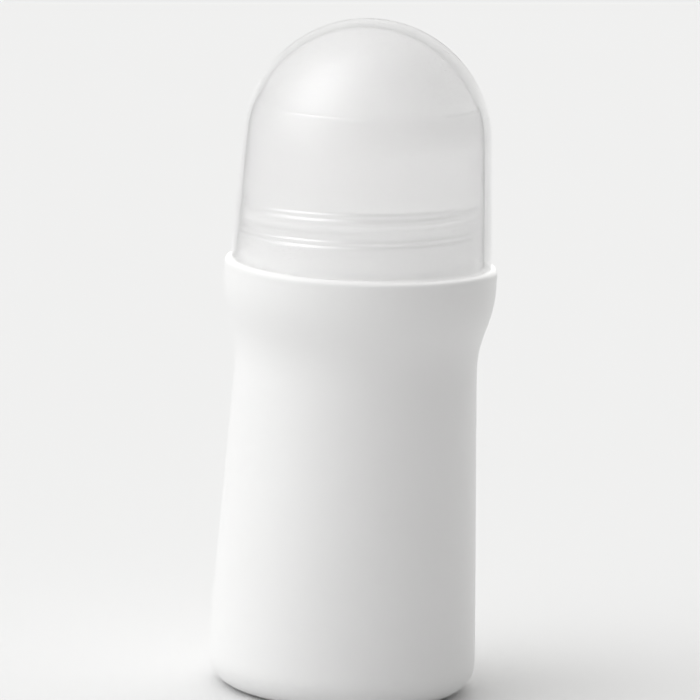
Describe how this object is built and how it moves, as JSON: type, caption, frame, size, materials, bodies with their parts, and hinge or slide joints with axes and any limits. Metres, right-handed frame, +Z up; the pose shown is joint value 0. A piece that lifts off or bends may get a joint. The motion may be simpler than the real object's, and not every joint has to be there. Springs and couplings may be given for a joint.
{
  "type": "roll-on bottle",
  "caption": "Waisted moulded bottle with a snap-in housing that holds a rolling applicator ball, closed by a translucent dome cap that lifts off.",
  "frame": {"origin": "middle of the foot, on the surface that the bottle stands on", "axes": "+Z up along the bottle's axis; +X is the axis that the ball's roll is measured about"},
  "size_m": [0.0436, 0.0436, 0.1081],
  "materials": {
    "bottle": "satin white polyethylene",
    "housing": "smooth white polyethylene",
    "ball": "ground smooth white polypropylene",
    "cap": "translucent natural polypropylene"
  },
  "bodies": {
    "bottle": {"bottle_body": "bottle", "ball_housing": "housing"},
    "ball": {"ball_upper_shell": "ball", "ball_lower_shell": "ball"},
    "cap": {"cap": "cap"}
  },
  "joints": [
    {"name": "ball_roll", "type": "hinge", "parent": "bottle", "child": "ball", "pos_m": [0, 0, 0.0883], "axis": [1, 0, 0], "continuous": true},
    {"name": "cap_lift", "type": "slide", "parent": "bottle", "child": "cap", "axis": [0, 0, 1], "range_m": [0, 0.045]}
  ]
}
